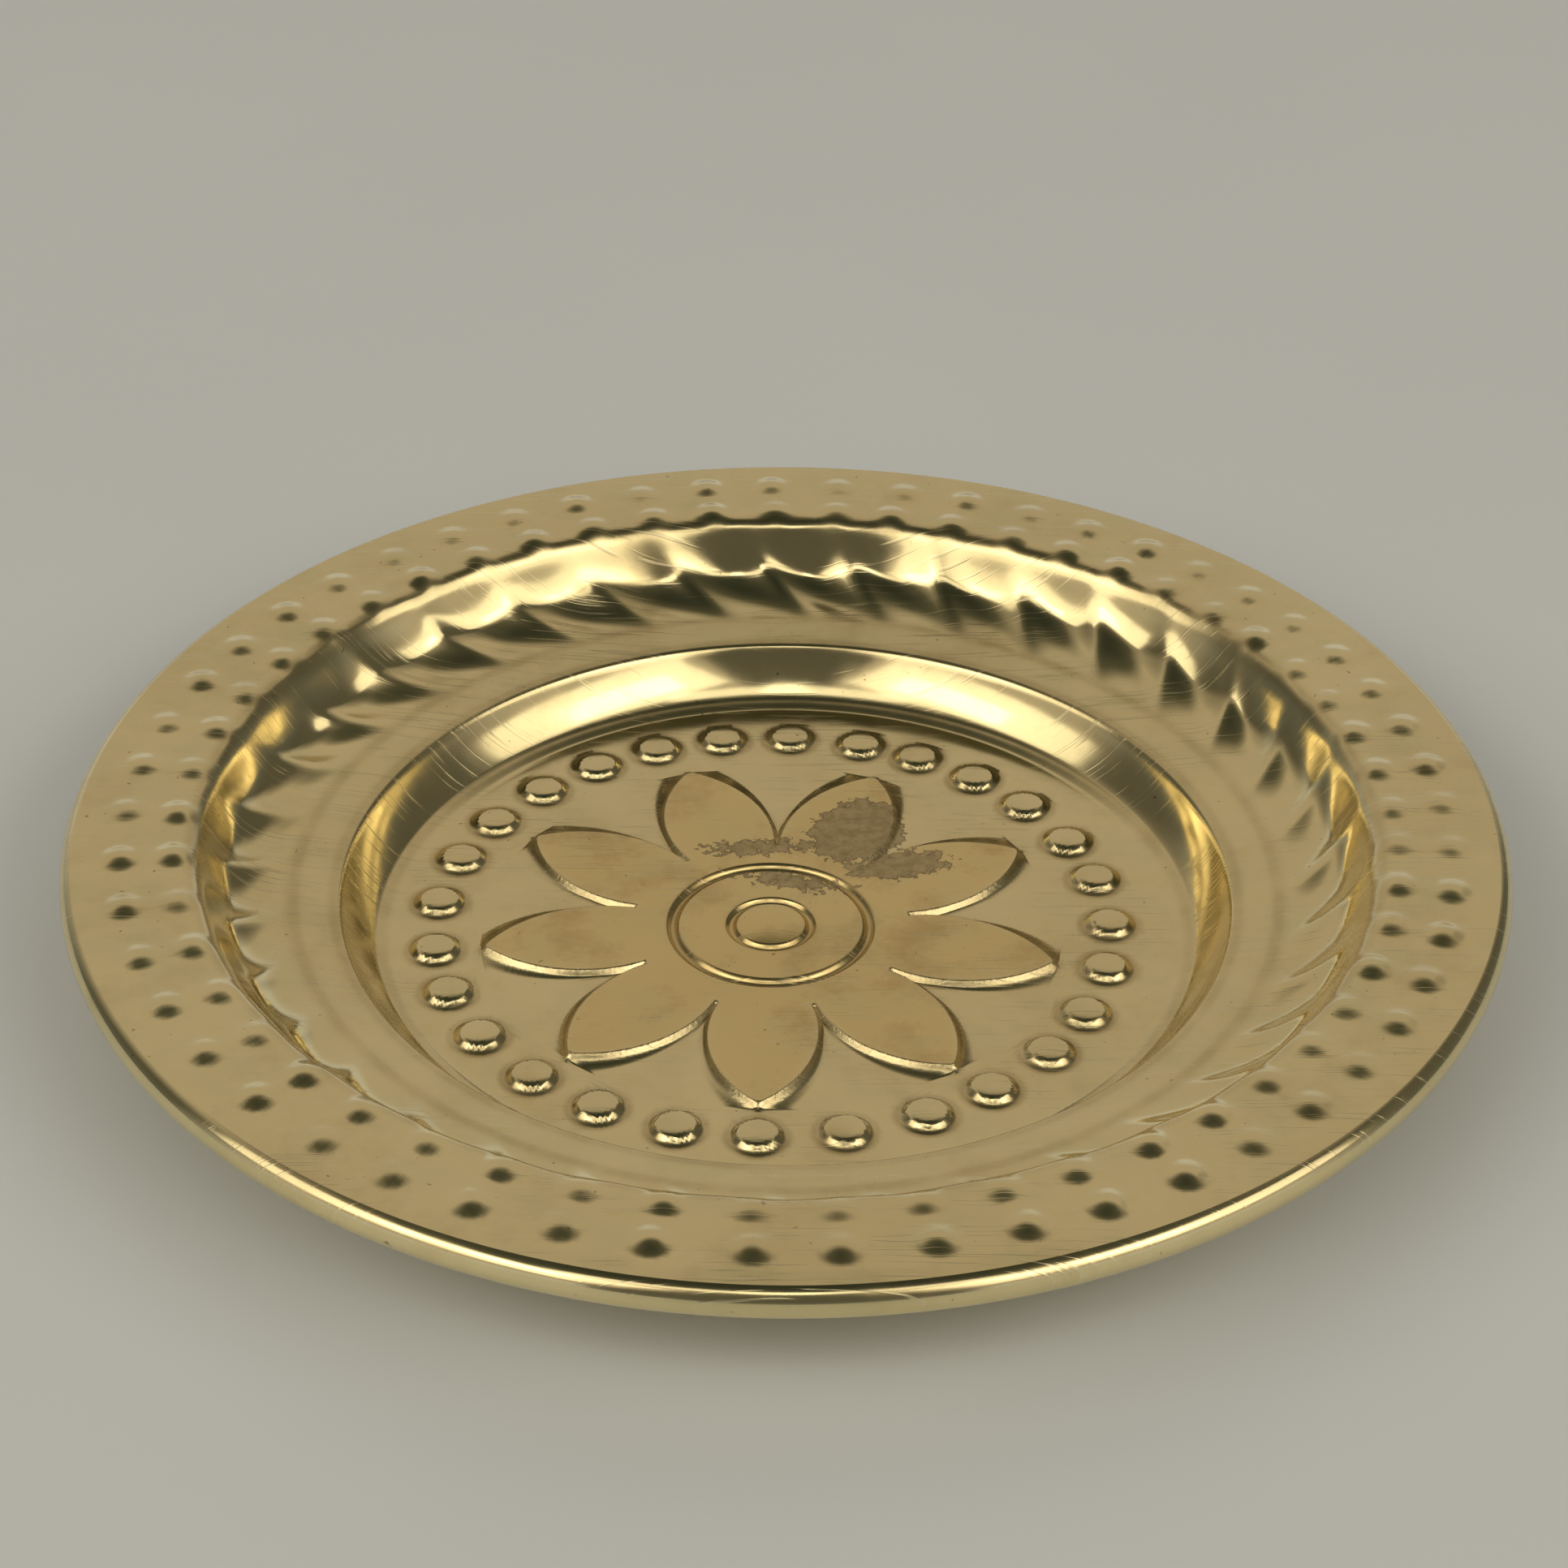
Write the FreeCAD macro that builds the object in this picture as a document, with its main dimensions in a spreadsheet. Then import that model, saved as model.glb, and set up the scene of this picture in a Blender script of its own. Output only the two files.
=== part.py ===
import FreeCAD, Part
import math
import os

import Sketcher
from FreeCAD import Placement, Rotation, Vector

# A shallow round offering plate for a prayer lamp, pressed from one thin brass
# sheet and rolled over a wire at its edge. Millimetres, +Z up. The origin is
# the middle of the plate on the surface it rests on.
#
# The sheet is made the way a die makes it. One solid, the die form, has the
# plate's upper surface as its top. The same form lowered by the sheet's
# thickness is cut from it, and what stays between the two is the pressed sheet.

SIZES = [
    # the sheet and its rolled edge
    ("sheet_gauge", 0.45, "thickness of the brass sheet, measured upright"),
    ("plate_radius", 65.0, "outside of the rolled edge"),
    ("edge_roll_radius", 1.7, "outside radius of the rolled edge's section"),
    ("rim_top", 12.3, "top of the rolled edge and of the flange that runs into it"),
    ("edge_roll_end", 168.0, "where the rolled sheet ends, degrees round its section"),
    ("wire_play", 0.05, "room between the wire and the sheet rolled over it"),
    ("die_depth", 8.0, "how far the die form reaches below the table plane"),
    # the turned section, from the middle outwards
    ("floor_top", 0.45, "upper face of the floor"),
    ("floor_radius", 36.3, "flat floor"),
    ("foot_inner_radius", 36.7, "inner side of the narrow shelf round the floor"),
    ("foot_outer_radius", 37.4, "foot of the cove"),
    ("foot_top", 0.75, "upper face of that shelf"),
    ("ledge_inner_radius", 40.4, "top of the cove"),
    ("ledge_inner_top", 5.0, "ledge height at its inner side"),
    ("ledge_outer_radius", 44.6, "foot of the fluted wall"),
    ("ledge_outer_top", 5.75, "ledge height at its outer side"),
    ("wall_arc_radius", 12.8, "hollow curve of the fluted wall"),
    ("flange_inner_radius", 52.8, "top of the fluted wall"),
    ("flange_outer_radius", 62.6, "where the flange meets the rolled edge"),
    ("bend_radius", 0.6, "rounding of the two upper bends"),
    # flower, rings and boss, all about the flower's own axis
    ("flower_shift", -1.3, "the embossing sits this far off the plate's axis, along X"),
    ("flower_shift_back", -0.9, "the same along Y"),
    ("flower_turn", -92.0, "direction of the first petal, degrees"),
    ("petal_count", 9, "petals"),
    ("petal_rise", 0.5, "flower above the floor"),
    ("petal_slope", 45.0, "lean of the flower's edges, degrees"),
    ("petal_tip_radius", 26.6, "tips of the petals"),
    ("petal_root_radius", 12.0, "where two petals run into the flower's middle"),
    ("petal_root_half_width", 4.0, "half of a petal's width there"),
    ("petal_side_radius", 12.6, "curve of a petal's side"),
    ("flower_disc_radius", 12.6, "round middle of the flower"),
    ("large_ring_radius", 9.0, "large groove ring"),
    ("small_ring_radius", 3.7, "small groove ring"),
    ("ring_section_radius", 0.6, "section of both groove rings"),
    ("ring_depth", 0.42, "depth of both groove rings"),
    ("boss_base_radius", 2.9, "button in the middle"),
    ("boss_rise", 0.3, "height of that button"),
    # domes
    ("stud_count", 28, "studs round the flower"),
    ("stud_ring_radius", 30.8, "ring of studs"),
    ("stud_turn", 100.8, "direction of the first stud, degrees"),
    ("stud_base_radius", 2.35, "one stud"),
    ("stud_rise", 0.9, "height of a stud"),
    ("bump_count", 53, "pairs of bumps round the flange"),
    ("inner_bump_ring_radius", 55.3, "inner row of bumps"),
    ("outer_bump_ring_radius", 59.7, "outer row of bumps"),
    ("bump_turn", 2.5, "direction of the first pair of bumps, degrees"),
    ("bump_base_radius", 1.85, "one bump"),
    ("bump_rise", 0.45, "height of a bump"),
    ("dome_root", 0.1, "how deep a dome is rooted in the form below it"),
    # flutes
    ("flute_count", 36, "flutes round the wall"),
    ("flute_radius", 6.0, "section of the tool that presses a flute"),
    ("flute_depth", 0.4, "depth of a flute"),
    ("flute_straight", 4.0, "straight length of a flute"),
    ("flute_swirl", 38.0, "lean of a flute from straight downhill, degrees"),
    ("flute_middle_radius", 49.4, "middle of a flute, out from the axis"),
    ("flute_middle_top", 8.15, "wall height there"),
    ("flute_wall_slope", 38.6, "wall slope there, degrees"),
]
SIZE = {name: value for name, value, note in SIZES}

doc = FreeCAD.newDocument("offering_plate")
sheet = doc.addObject("Spreadsheet::Sheet", "sizes")
for row, (size_name, size_value, size_note) in enumerate(SIZES, start=1):
    sheet.set(f"A{row}", size_name)
    sheet.set(f"B{row}", str(size_value))
    sheet.set(f"C{row}", size_note)
    sheet.setAlias(f"B{row}", size_name)
doc.recompute()


def bind(item, prop, formula):
    """Bind one property to a formula. Words in it that are sizes come from the sheet."""
    for name in sorted(SIZE, key=len, reverse=True):
        formula = formula.replace("@" + name, "sizes." + name)
    item.setExpression(prop, formula)


def origin_feature(body, role):
    """One of the body's own origin planes or axes."""
    for feature in body.Origin.OriginFeatures:
        if feature.Role == role:
            return feature
    raise RuntimeError(f"{body.Name} has no {role}")


def attach(item, body, plane, offset=None):
    """Attach a sketch or primitive to one of the body's origin planes."""
    item.AttachmentSupport = [(origin_feature(body, plane), "")]
    item.MapMode = "FlatFace"
    if offset is not None:
        item.AttachmentOffset = offset


def add_sketch(body, name, plane, offset=None):
    sketch = body.newObject("Sketcher::SketchObject", name)
    attach(sketch, body, plane, offset)
    return sketch


def start_of(edge, backwards):
    """Which end of a sketch edge the loop reaches first: 1, or 2 on a backward arc."""
    return 2 if edge in backwards else 1


def join_ends(sketch, count, backwards=()):
    """Close a loop of edges 0 to count - 1, each starting where the one before ends."""
    for index in range(count):
        following = (index + 1) % count
        end = 3 - start_of(index, backwards)
        begin = start_of(following, backwards)
        sketch.addConstraint(Sketcher.Constraint("Coincident", index, end, following, begin))


def pin_point(sketch, edge, end, across, up):
    """Fix a point of a sketch edge, drawn in its place already, at two formulas."""
    drawn = sketch.getPoint(edge, end)
    for kind, value, formula in (("DistanceX", drawn.x, across), ("DistanceY", drawn.y, up)):
        number = sketch.addConstraint(Sketcher.Constraint(kind, -1, 1, edge, end, value))
        bind(sketch, f"Constraints[{number}]", formula)


def set_radius(sketch, edge, value, formula):
    number = sketch.addConstraint(Sketcher.Constraint("Radius", edge, value))
    bind(sketch, f"Constraints[{number}]", formula)


def volume_after(feature, before, grows, what):
    """Stop if a feature did nothing or worked the wrong way round."""
    doc.recompute()
    volume = feature.Shape.Volume
    if (volume > before + 1e-3) != grows or abs(volume - before) < 1e-3:
        raise RuntimeError(f"{what}: volume {before:.3f} became {volume:.3f}")
    return volume


def arc_through(first, last, radius):
    """Counter-clockwise arc of a given radius from one point to another."""
    chord = last - first
    middle = (first + last) * 0.5
    outward = Vector(chord.y, -chord.x, 0).normalize()
    sagitta = radius - math.sqrt(radius**2 - (chord.Length / 2) ** 2)
    return Part.Arc(first, middle + outward * sagitta, last)


# ---------------------------------------------------------------- the die form

form = doc.addObject("PartDesign::Body", "die_form")
Z_AXIS = (origin_feature(form, "Z_Axis"), [""])

section = add_sketch(form, "turned_section", "XZ_Plane")
SECTION_CORNERS = [
    ("0", "-@die_depth"),
    ("@flange_outer_radius", "-@die_depth"),
    ("@flange_outer_radius", "@rim_top"),
    ("@flange_inner_radius", "@rim_top"),
    ("@ledge_outer_radius", "@ledge_outer_top"),
    ("@ledge_inner_radius", "@ledge_inner_top"),
    ("@foot_outer_radius", "@foot_top"),
    ("@foot_inner_radius", "@foot_top"),
    ("@floor_radius", "@floor_top"),
    ("0", "@floor_top"),
]
WALL_EDGE = 3  # from the flange down to the ledge, an arc drawn the other way round


def size_of(formula):
    """The number that a plain formula, one size or minus one size, stands for."""
    if formula.startswith("-"):
        return -size_of(formula[1:])
    return SIZE[formula[1:]] if formula.startswith("@") else float(formula)


corner_points = [Vector(size_of(across), size_of(up), 0) for across, up in SECTION_CORNERS]
for index, start in enumerate(corner_points):
    finish = corner_points[(index + 1) % len(corner_points)]
    if index == WALL_EDGE:
        section.addGeometry(arc_through(finish, start, SIZE["wall_arc_radius"]))
    else:
        section.addGeometry(Part.LineSegment(start, finish))
join_ends(section, len(corner_points), (WALL_EDGE,))
for index, (across, up) in enumerate(SECTION_CORNERS):
    pin_point(section, index, start_of(index, (WALL_EDGE,)), across, up)
set_radius(section, WALL_EDGE, SIZE["wall_arc_radius"], "@wall_arc_radius")

turned = form.newObject("PartDesign::Revolution", "turned_form")
turned.Profile = section
turned.ReferenceAxis = (section, ["V_Axis"])
turned.Angle = 360.0
doc.recompute()


def round_edges_at(shape, radii):
    """Names of the circular edges with these radii that lie above the floor."""
    names = []
    for number, edge in enumerate(shape.Edges, start=1):
        if not isinstance(edge.Curve, Part.Circle) or edge.Curve.Center.z < SIZE["floor_top"] + 1:
            continue
        if any(abs(edge.Curve.Radius - radius) < 1e-4 for radius in radii):
            names.append(f"Edge{number}")
    return names


bends = form.newObject("PartDesign::Fillet", "upper_bends")
bend_radii = (SIZE["ledge_inner_radius"], SIZE["flange_inner_radius"])
bends.Base = (turned, round_edges_at(turned.Shape, bend_radii))
bends.Radius = SIZE["bend_radius"]
bind(bends, "Radius", "@bend_radius")
doc.recompute()
form_volume = bends.Shape.Volume


def polar(name, originals, axis, count_size):
    """Repeat features round an axis and make the pattern the body's tip."""
    pattern = form.newObject("PartDesign::PolarPattern", name)
    pattern.Originals = originals
    pattern.Axis = axis
    pattern.Angle = 360.0
    pattern.Occurrences = int(SIZE[count_size])
    bind(pattern, "Occurrences", "@" + count_size)
    form.Tip = pattern
    return pattern


def add_dome(name, across, turn, up, base_radius, rise, shift=("0", "0")):
    """A spherical cap that stands on the form, at a distance and direction from an axis
    that is shifted along X and Y. Its sizes are formulas."""
    dome = form.newObject("PartDesign::AdditiveSphere", name)
    attach(dome, form, "XY_Plane")
    ball = f"(({base_radius}) ^ 2 + ({rise}) ^ 2) / (2 * {rise})"
    bind(dome, "Radius", ball)
    bind(dome, "Angle1", f"asin(1 - ({rise} + @dome_root) / ({ball}))")
    bind(dome, "AttachmentOffset.Base.x", f"{shift[0]} + {across} * cos({turn})")
    bind(dome, "AttachmentOffset.Base.y", f"{shift[1]} + {across} * sin({turn})")
    bind(dome, "AttachmentOffset.Base.z", f"{up} + {rise} - {ball}")
    return dome


# The flower: a round middle and petals that run out of it, raised above the floor.
# Its plan also gives the axis that everything in the floor is laid out about.
petal_plan = add_sketch(form, "petal_plan", "XY_Plane")
petal_plan.AttachmentOffset = Placement(
    Vector(SIZE["flower_shift"], SIZE["flower_shift_back"], SIZE["floor_top"]),
    Rotation(Vector(0, 0, 1), SIZE["flower_turn"]),
)
bind(petal_plan, "AttachmentOffset.Base.x", "@flower_shift")
bind(petal_plan, "AttachmentOffset.Base.y", "@flower_shift_back")
bind(petal_plan, "AttachmentOffset.Base.z", "@floor_top")
petal_tip = Vector(SIZE["petal_tip_radius"], 0, 0)
left_root = Vector(SIZE["petal_root_radius"], SIZE["petal_root_half_width"], 0)
right_root = Vector(SIZE["petal_root_radius"], -SIZE["petal_root_half_width"], 0)
side_radius = SIZE["petal_side_radius"]
petal_plan.addGeometry(arc_through(right_root, petal_tip, side_radius))
petal_plan.addGeometry(arc_through(petal_tip, left_root, side_radius))
petal_plan.addGeometry(Part.LineSegment(left_root, right_root))
join_ends(petal_plan, 3)
pin_point(petal_plan, 1, 1, "@petal_tip_radius", "0")
pin_point(petal_plan, 2, 1, "@petal_root_radius", "@petal_root_half_width")
pin_point(petal_plan, 2, 2, "@petal_root_radius", "-@petal_root_half_width")
for side in (0, 1):
    set_radius(petal_plan, side, side_radius, "@petal_side_radius")
FLOWER_AXIS = (petal_plan, ["N_Axis"])

petal = form.newObject("PartDesign::Pad", "petal")
petal.Profile = petal_plan
petal.Length = SIZE["petal_rise"]
bind(petal, "Length", "@petal_rise")
petal.TaperAngle = -SIZE["petal_slope"]
bind(petal, "TaperAngle", "-@petal_slope")
form_volume = volume_after(petal, form_volume, True, "petal")
petals = polar("petals", [petal], FLOWER_AXIS, "petal_count")
form_volume = volume_after(petals, form_volume, True, "petals")

disc_plan = add_sketch(form, "flower_disc_plan", "XY_Plane")
bind(disc_plan, "AttachmentOffset.Base.x", "@flower_shift")
bind(disc_plan, "AttachmentOffset.Base.y", "@flower_shift_back")
bind(disc_plan, "AttachmentOffset.Base.z", "@floor_top")
disc_plan.addGeometry(Part.Circle(Vector(0, 0, 0), Vector(0, 0, 1), SIZE["flower_disc_radius"]))
disc_plan.addConstraint(Sketcher.Constraint("Coincident", 0, 3, -1, 1))
set_radius(disc_plan, 0, SIZE["flower_disc_radius"], "@flower_disc_radius")
flower_disc = form.newObject("PartDesign::Pad", "flower_disc")
flower_disc.Profile = disc_plan
flower_disc.Length = SIZE["petal_rise"]
bind(flower_disc, "Length", "@petal_rise")
flower_disc.TaperAngle = -SIZE["petal_slope"]
bind(flower_disc, "TaperAngle", "-@petal_slope")
form_volume = volume_after(flower_disc, form_volume, True, "flower disc")

# Two groove rings and a button in the middle of the flower.
for ring_name in ("large_ring", "small_ring"):
    ring = form.newObject("PartDesign::SubtractiveTorus", ring_name)
    attach(ring, form, "XY_Plane")
    bind(ring, "Radius1", f"@{ring_name}_radius")
    bind(ring, "Radius2", "@ring_section_radius")
    bind(ring, "AttachmentOffset.Base.x", "@flower_shift")
    bind(ring, "AttachmentOffset.Base.y", "@flower_shift_back")
    bind(
        ring,
        "AttachmentOffset.Base.z",
        "@floor_top + @petal_rise + @ring_section_radius - @ring_depth",
    )
    form_volume = volume_after(ring, form_volume, False, ring_name)
flower_top = "@floor_top + @petal_rise"
flower_axis_at = ("@flower_shift", "@flower_shift_back")
boss = add_dome("boss", "0", "0", flower_top, "@boss_base_radius", "@boss_rise", flower_axis_at)
form_volume = volume_after(boss, form_volume, True, "boss")

# A ring of round studs between the flower and the cove.
stud = add_dome(
    "stud",
    "@stud_ring_radius",
    "@stud_turn",
    "@floor_top",
    "@stud_base_radius",
    "@stud_rise",
    flower_axis_at,
)
form_volume = volume_after(stud, form_volume, True, "stud")
studs = polar("studs", [stud], FLOWER_AXIS, "stud_count")
form_volume = volume_after(studs, form_volume, True, "studs")

# Two rows of low bumps round the flange, in pairs.
bumps = []
for row_name in ("inner_bump", "outer_bump"):
    across = f"@{row_name}_ring_radius"
    bump = add_dome(row_name, across, "@bump_turn", "@rim_top", "@bump_base_radius", "@bump_rise")
    form_volume = volume_after(bump, form_volume, True, row_name)
    bumps.append(bump)
bump_rows = polar("bump_rows", bumps, Z_AXIS, "bump_count")
form_volume = volume_after(bump_rows, form_volume, True, "bump rows")

# Flutes that lean round the wall. One flute is the dent of a round-ended rod laid
# along the wall and swung round the wall's own normal.
rod_lift = SIZE["flute_radius"] - SIZE["flute_depth"]
wall_slope = math.radians(SIZE["flute_wall_slope"])
rod_middle = Vector(
    SIZE["flute_middle_radius"] - rod_lift * math.sin(wall_slope),
    SIZE["flute_middle_top"] + rod_lift * math.cos(wall_slope),
    0,
)
uphill = Rotation(Vector(0, 0, 1), SIZE["flute_wall_slope"])
swing = Rotation(Vector(0, 1, 0), SIZE["flute_swirl"])
rod_plan = add_sketch(form, "flute_rod", "XZ_Plane", Placement(rod_middle, uphill * swing))
half = SIZE["flute_straight"] / 2
thick = SIZE["flute_radius"]
round_end = thick * math.sqrt(0.5)
rod_plan.addGeometry(Part.LineSegment(Vector(-half - thick, 0, 0), Vector(half + thick, 0, 0)))
rod_plan.addGeometry(
    Part.Arc(
        Vector(half + thick, 0, 0),
        Vector(half + round_end, round_end, 0),
        Vector(half, thick, 0),
    )
)
rod_plan.addGeometry(Part.LineSegment(Vector(half, thick, 0), Vector(-half, thick, 0)))
rod_plan.addGeometry(
    Part.Arc(
        Vector(-half, thick, 0),
        Vector(-half - round_end, round_end, 0),
        Vector(-half - thick, 0, 0),
    )
)
join_ends(rod_plan, 4)
pin_point(rod_plan, 2, 1, "@flute_straight / 2", "@flute_radius")
pin_point(rod_plan, 2, 2, "-@flute_straight / 2", "@flute_radius")
pin_point(rod_plan, 0, 1, "-@flute_straight / 2 - @flute_radius", "0")
pin_point(rod_plan, 0, 2, "@flute_straight / 2 + @flute_radius", "0")
for rod_end in (1, 3):
    set_radius(rod_plan, rod_end, thick, "@flute_radius")
flute = form.newObject("PartDesign::Groove", "flute")
flute.Profile = rod_plan
flute.ReferenceAxis = (rod_plan, ["H_Axis"])
flute.Angle = 360.0
form_volume = volume_after(flute, form_volume, False, "flute")
flutes = polar("flutes", [flute], Z_AXIS, "flute_count")
form_volume = volume_after(flutes, form_volume, False, "flutes")

# ------------------------------------------------------------- the pressed sheet

lowered = doc.addObject("Part::Feature", "lowered_form")
lowered.Shape = form.Shape.copy()
lowered.Placement = Placement(Vector(0, 0, -sheet.sheet_gauge), Rotation())
pressing = doc.addObject("Part::Cut", "pressing")
pressing.Base = form
pressing.Tool = lowered
doc.recompute()

# The rolled edge: the sheet leaves the flange level, goes over the wire and round under
# it, and ends just short of the flange again.
rolled = doc.addObject("PartDesign::Body", "rolled_edge")
roll_section = add_sketch(rolled, "roll_section", "XZ_Plane")
outer_r = SIZE["edge_roll_radius"]
inner_r = outer_r - SIZE["sheet_gauge"]
roll_middle = Vector(SIZE["plate_radius"] - outer_r, SIZE["rim_top"] - outer_r, 0)
flange_end = SIZE["flange_outer_radius"]
top_y = SIZE["rim_top"]
under_y = top_y - SIZE["sheet_gauge"]
end_angle = SIZE["edge_roll_end"]


def on_roll(radius, degrees):
    angle = math.radians(degrees)
    return roll_middle + Vector(radius * math.cos(angle), radius * math.sin(angle), 0)


seam_outer, seam_inner = on_roll(outer_r, end_angle), on_roll(inner_r, end_angle)
top_meet, under_meet = on_roll(outer_r, 90), on_roll(inner_r, 90)
flange_top, flange_under = Vector(flange_end, top_y, 0), Vector(flange_end, under_y, 0)
roll_section.addGeometry(Part.LineSegment(flange_top, top_meet))
roll_section.addGeometry(Part.Arc(seam_outer, on_roll(outer_r, -45), top_meet))
roll_section.addGeometry(Part.LineSegment(seam_outer, seam_inner))
roll_section.addGeometry(Part.Arc(seam_inner, on_roll(inner_r, -45), under_meet))
roll_section.addGeometry(Part.LineSegment(under_meet, flange_under))
roll_section.addGeometry(Part.LineSegment(flange_under, flange_top))
join_ends(roll_section, 6, (1,))
pin_point(roll_section, 0, 1, "@flange_outer_radius", "@rim_top")
pin_point(roll_section, 0, 2, "@plate_radius - @edge_roll_radius", "@rim_top")
pin_point(roll_section, 4, 1, "@plate_radius - @edge_roll_radius", "@rim_top - @sheet_gauge")
pin_point(roll_section, 4, 2, "@flange_outer_radius", "@rim_top - @sheet_gauge")
ROLL_ARCS = {1: "@edge_roll_radius", 3: "@edge_roll_radius - @sheet_gauge"}
MIDDLE = 3
for arc, formula in ROLL_ARCS.items():
    set_radius(roll_section, arc, outer_r if arc == 1 else inner_r, formula)
    roll_section.addConstraint(Sketcher.Constraint("Vertical", arc, MIDDLE, 0, 2))
seam_lean = math.radians(end_angle - 180)
seam_line = roll_section.addConstraint(Sketcher.Constraint("Angle", 2, seam_lean))
bind(roll_section, f"Constraints[{seam_line}]", "(@edge_roll_end - 180) * 1 deg")
roll_section.addConstraint(Sketcher.Constraint("PointOnObject", 3, MIDDLE, 2))
roll_turn = rolled.newObject("PartDesign::Revolution", "roll_turn")
roll_turn.Profile = roll_section
roll_turn.ReferenceAxis = (roll_section, ["V_Axis"])
roll_turn.Angle = 360.0
doc.recompute()

dish = doc.addObject("Part::MultiFuse", "dish")
dish.Shapes = [pressing, rolled]
dish.Refine = True
dish.Label = "pressed_dish"

# ------------------------------------------------------------------ the wire

wire = doc.addObject("Part::Torus", "wire")
wire.Label = "rim_wire"
bind(wire, "Radius1", "@plate_radius - @edge_roll_radius")
bind(wire, "Radius2", "@edge_roll_radius - @sheet_gauge - @wire_play")
bind(wire, "Placement.Base.z", "@rim_top - @edge_roll_radius")
doc.recompute()

# --------------------------------------------------------------- check and write

NODES = [dish, wire]
for item in doc.Objects:
    if "Invalid" in item.State or "Error" in item.State:
        raise RuntimeError(f"{item.Name} failed: {item.State}")
os.makedirs("parts", exist_ok=True)
for node in NODES:
    shape = node.Shape
    if shape.isNull() or not shape.isValid():
        raise RuntimeError(f"{node.Label} has no valid shape")
    shape.exportStep(f"parts/{node.Label}.step")
    box = shape.optimalBoundingBox(False)
    print(
        f"{node.Label}: {len(shape.Solids)} solid, {shape.Volume:.1f} mm3, {len(shape.Faces)} faces, "
        f"x {box.XMin:.2f} to {box.XMax:.2f}, z {box.ZMin:.2f} to {box.ZMax:.2f}"
    )
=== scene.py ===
import math

import bpy
import numpy as np
from mathutils import Matrix, Vector


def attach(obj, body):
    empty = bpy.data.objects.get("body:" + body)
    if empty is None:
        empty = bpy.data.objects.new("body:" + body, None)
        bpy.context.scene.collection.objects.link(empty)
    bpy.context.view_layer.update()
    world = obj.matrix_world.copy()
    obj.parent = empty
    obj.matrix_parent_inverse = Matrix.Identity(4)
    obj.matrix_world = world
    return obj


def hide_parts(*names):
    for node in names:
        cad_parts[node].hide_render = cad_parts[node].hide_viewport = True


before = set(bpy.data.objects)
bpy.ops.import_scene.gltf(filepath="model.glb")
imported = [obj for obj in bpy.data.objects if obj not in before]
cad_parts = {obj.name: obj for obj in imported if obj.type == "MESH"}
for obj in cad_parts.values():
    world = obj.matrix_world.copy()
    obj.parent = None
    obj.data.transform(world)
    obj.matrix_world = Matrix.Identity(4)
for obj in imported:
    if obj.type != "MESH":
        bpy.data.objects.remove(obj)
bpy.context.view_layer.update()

# A shallow round prayer plate pressed from thin brass sheet and rolled over a wire.
# Shapes are worked out in millimetres and scaled to metres when a mesh is made.
MM = 0.001
TURN = 2 * math.pi

# ------------------------------------------------------------------ dimensions, mm

GAUGE = 0.45
FLOOR_TOP = 0.45

PLATE_R = 65.0
RIM_TOP = 12.3
ROLL_OUTER = 1.7
ROLL_R = PLATE_R - ROLL_OUTER  # middle of the rolled edge, out from the axis
ROLL_Z = RIM_TOP - ROLL_OUTER
ROLL_INNER = ROLL_OUTER - GAUGE
ROLL_START = math.radians(71)  # round its section, where the flange meets it in a crease
ROLL_END = math.radians(-192)  # round its section, where the rolled sheet ends
ROLL_CREASE_R = ROLL_R + ROLL_OUTER * math.cos(ROLL_START) - 0.05
ROLL_COLUMNS = 320
FLANGE_END = 62.4

FLOWER_X, FLOWER_Y = -1.35, -0.9  # the embossing sits a little off the plate's axis
CENTRE_HOLD = 34.0  # the grid is centred on the flower out to here
CENTRE_FREE = 37.0  # and on the plate from here

PETALS = 9
PETAL_TURN = math.radians(-92)
PETAL_RISE = 0.55
PETAL_TIP = 26.3
PETAL_ARC_X, PETAL_ARC_Y, PETAL_ARC_R = 16.33, 7.68, 12.58  # a petal's side
PETAL_FROM = 11.0  # a petal's outline isn't looked for nearer the middle than this
OUTLINE_FROM = 11.5  # the flower's outline isn't marked nearer the middle than this
PETAL_ROOT_HALF = 4.02  # half of a petal's width where it leaves the disc
TIP_ROUNDING = 0.2
EDGE_WIDTH = 0.5  # width of a pressed edge, in plan
EDGE_SET_BACK = 0.36
DISC_R = 12.7

BIG_RING_R, SMALL_RING_R = 9.0, 3.65
RING_HALF = 0.62
RING_DEPTH = 0.48
RING_SHARPNESS = 1.5
BOSS_R, BOSS_RISE, BOSS_ROUNDING = 3.1, 0.3, 0.15

STUDS = 28
STUD_X_MID, STUD_Y_MID = -1.2, -0.35
STUD_RING = 30.9
STUD_TURN = math.radians(100.8)
STUD_DRIFT = math.radians(3.6)
STUD_DRIFT_TURN = math.radians(10)
STUD_JITTER = 0.008  # radians

BUMPS = 53
BUMP_ROWS = (54.9, 59.6)
BUMP_TURN = math.radians(2.5)
BUMP_DRIFT = 0.075
BUMP_DENSE = math.radians(45)
BUMP_STRENGTHS = (0.75, 1.25)
BUMP_WANDER = 0.16
BRIM_ZONE = (51.5, 62.5)  # the radii that the bumps can reach

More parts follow.
